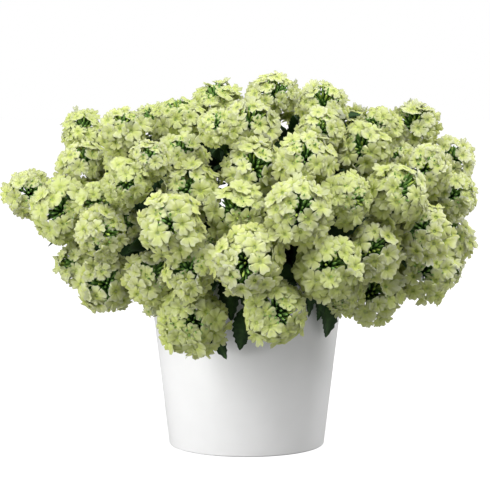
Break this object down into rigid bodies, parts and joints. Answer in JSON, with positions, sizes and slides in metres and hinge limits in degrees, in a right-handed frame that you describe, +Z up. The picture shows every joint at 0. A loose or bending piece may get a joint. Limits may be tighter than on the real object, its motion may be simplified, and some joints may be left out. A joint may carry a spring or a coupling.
{
  "type": "potted verbena plant",
  "caption": "Bushy verbena in bloom, with rounded heads of pale lime five-petalled florets and toothed leaves, standing in a plain tapered pot.",
  "frame": {"origin": "middle of the pot's flat foot, on the surface that it stands on", "axes": "+Z up along the pot's axis; -Y is the side that the picture shows; +X is to the right of that view"},
  "size_m": [0.4075, 0.3436, 0.3245],
  "materials": {
    "pot": "satin",
    "soil": "matte",
    "leaves": "matte",
    "petals": "matte"
  },
  "bodies": {
    "root": {"pot": "pot", "soil": "soil", "leafy_stems": "leaves", "flower_head_01": "petals", "flower_head_02": "petals", "flower_head_03": "petals", "flower_head_04": "petals", "flower_head_05": "petals", "flower_head_06": "petals", "flower_head_07": "petals", "flower_head_08": "petals", "flower_head_09": "petals", "flower_head_10": "petals", "flower_head_11": "petals", "flower_head_12": "petals", "flower_head_13": "petals", "flower_head_14": "petals", "flower_head_15": "petals", "flower_head_16": "petals", "flower_head_17": "petals", "flower_head_18": "petals", "flower_head_19": "petals", "flower_head_20": "petals", "flower_head_21": "petals", "flower_head_22": "petals", "flower_head_23": "petals", "flower_head_24": "petals", "flower_head_25": "petals", "flower_head_26": "petals", "flower_head_27": "petals", "flower_head_28": "petals", "flower_head_29": "petals", "flower_head_30": "petals", "flower_head_31": "petals", "flower_head_32": "petals", "flower_head_33": "petals", "flower_head_34": "petals", "flower_head_35": "petals", "flower_head_36": "petals", "flower_head_37": "petals", "flower_head_38": "petals", "flower_head_39": "petals", "flower_head_40": "petals", "flower_head_41": "petals", "flower_head_42": "petals", "flower_head_43": "petals", "flower_head_44": "petals", "flower_head_45": "petals", "flower_head_46": "petals", "flower_head_47": "petals", "flower_head_48": "petals", "flower_head_49": "petals", "flower_head_50": "petals", "flower_head_51": "petals", "flower_head_52": "petals", "flower_head_53": "petals", "flower_head_54": "petals", "flower_head_55": "petals", "flower_head_56": "petals", "flower_head_57": "petals"}
  },
  "joints": []
}
